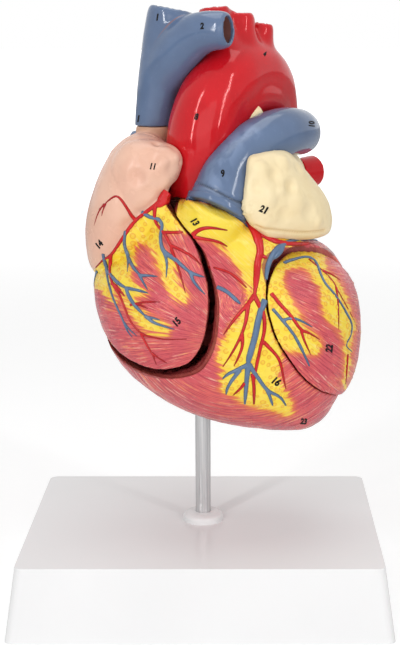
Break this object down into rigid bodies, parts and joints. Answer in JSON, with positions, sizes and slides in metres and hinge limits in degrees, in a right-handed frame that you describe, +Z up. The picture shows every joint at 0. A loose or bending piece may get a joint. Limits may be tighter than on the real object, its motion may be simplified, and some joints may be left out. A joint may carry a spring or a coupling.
{
  "type": "human heart anatomy model",
  "caption": "Life-size teaching model of a human heart on a steel post and white plinth, with two magnetic covers that lift off the ventricles.",
  "frame": {"origin": "centre of the plinth's foot, on the table", "axes": "+Z up along the post, +X to the viewer's right, -Y towards the viewer and the heart's front"},
  "size_m": [0.166, 0.134, 0.2643],
  "materials": {
    "white_plastic": "glossy white moulding",
    "steel": "satin stainless steel",
    "socket_plastic": "plain",
    "muscle": "hand-painted and clear-coated",
    "cover_right": "hand-painted and clear-coated",
    "cover_left": "hand-painted and clear-coated",
    "atrium_pink": "clear-coated paint",
    "auricle_cream": "clear-coated paint",
    "artery_red": "glossy paint",
    "vein_blue": "glossy paint",
    "valve_cream": "clear-coated paint",
    "inner_muscle": "clear-coated paint",
    "magnet": "nickel plated"
  },
  "bodies": {
    "stand": {"base_plinth": "white_plastic", "post_collar": "white_plastic", "support_post": "steel", "post_washer": "steel", "post_nut": "steel"},
    "heart": {"post_socket": "socket_plastic", "heart_body": "muscle", "right_atrium_base": "atrium_pink", "left_atrium": "atrium_pink", "left_auricle": "auricle_cream", "aorta": "artery_red", "pulmonary_trunk": "vein_blue", "superior_vena_cava": "vein_blue", "inferior_vena_cava": "vein_blue", "left_pulmonary_veins": "artery_red", "right_pulmonary_veins": "artery_red", "tricuspid_valve": "valve_cream", "mitral_valve": "valve_cream", "right_papillary_muscles": "inner_muscle", "left_papillary_muscles": "inner_muscle", "right_tendinous_cords": "valve_cream", "left_tendinous_cords": "valve_cream", "body_magnets": "magnet"},
    "right_cover": {"right_heart_cover": "cover_right", "right_cover_magnets": "magnet"},
    "left_cover": {"left_ventricle_cover": "cover_left", "left_cover_magnets": "magnet"}
  },
  "joints": [
    {"name": "heart_turn", "type": "hinge", "parent": "stand", "child": "heart", "pos_m": [0, 0, 0.083], "axis": [0, 0, 1], "continuous": true},
    {"name": "right_cover_lift", "type": "slide", "parent": "heart", "child": "right_cover", "axis": [0, -1, 0], "range_m": [0, 0.07]},
    {"name": "left_cover_lift", "type": "slide", "parent": "heart", "child": "left_cover", "axis": [0, -1, 0], "range_m": [0, 0.055]}
  ]
}
